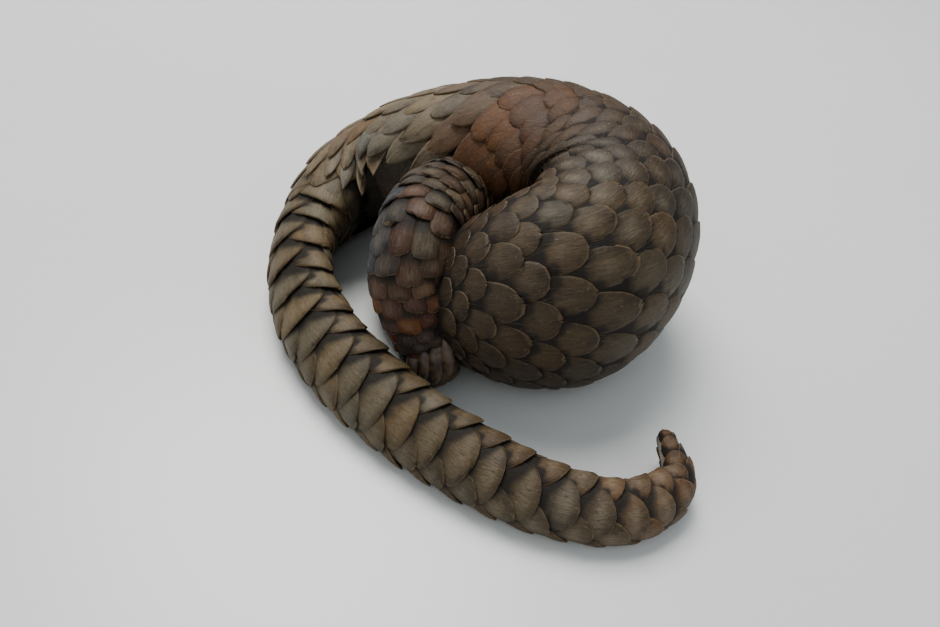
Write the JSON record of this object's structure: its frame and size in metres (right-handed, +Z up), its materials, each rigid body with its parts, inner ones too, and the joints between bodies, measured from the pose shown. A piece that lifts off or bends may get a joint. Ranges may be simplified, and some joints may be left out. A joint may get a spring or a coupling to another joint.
{
  "type": "pangolin",
  "caption": "Sunda pangolin lying curled on its left side, overlapping brown scales, hind leg over its tucked head and its long tail swept round in front.",
  "frame": {"origin": "middle of the flat that the trunk rests on, on the floor", "axes": "+Z up from the floor, -Y towards the tail's long sweep in front, +X towards the closed end of the curled back"},
  "size_m": [0.2933, 0.3282, 0.1536],
  "materials": {
    "trunk_scales": "keratin scales, satin with dusty grey sheen",
    "tail_scales": "keratin scales, satin, finely striated",
    "leg_scales": "keratin scales, satin, rust and slate tints",
    "head_skin": "bare skin, matte",
    "ear_skin": "bare skin, matte",
    "foot_skin": "bare skin and horn, matte",
    "claw": "horn, satin",
    "eye": "wet, glossy dark brown"
  },
  "bodies": {
    "root": {"head": "head_skin", "eye_right": "eye", "eye_left": "eye", "ear_right": "ear_skin", "ear_left": "ear_skin", "neck": "trunk_scales", "torso_shoulder": "trunk_scales", "torso_back": "trunk_scales", "torso_loin": "trunk_scales", "torso_rump": "trunk_scales", "tail_1": "tail_scales", "tail_2": "tail_scales", "tail_3": "tail_scales", "tail_4": "tail_scales", "tail_5": "tail_scales", "tail_6": "tail_scales", "tail_tip": "tail_scales", "foreleg_right": "leg_scales", "forefoot_right": "foot_skin", "foreleg_left": "leg_scales", "forefoot_left": "foot_skin", "hindleg_right": "leg_scales", "hindshank_right": "leg_scales", "hindfoot_right": "foot_skin", "hindleg_left": "leg_scales", "hindfoot_left": "foot_skin"}
  },
  "joints": []
}
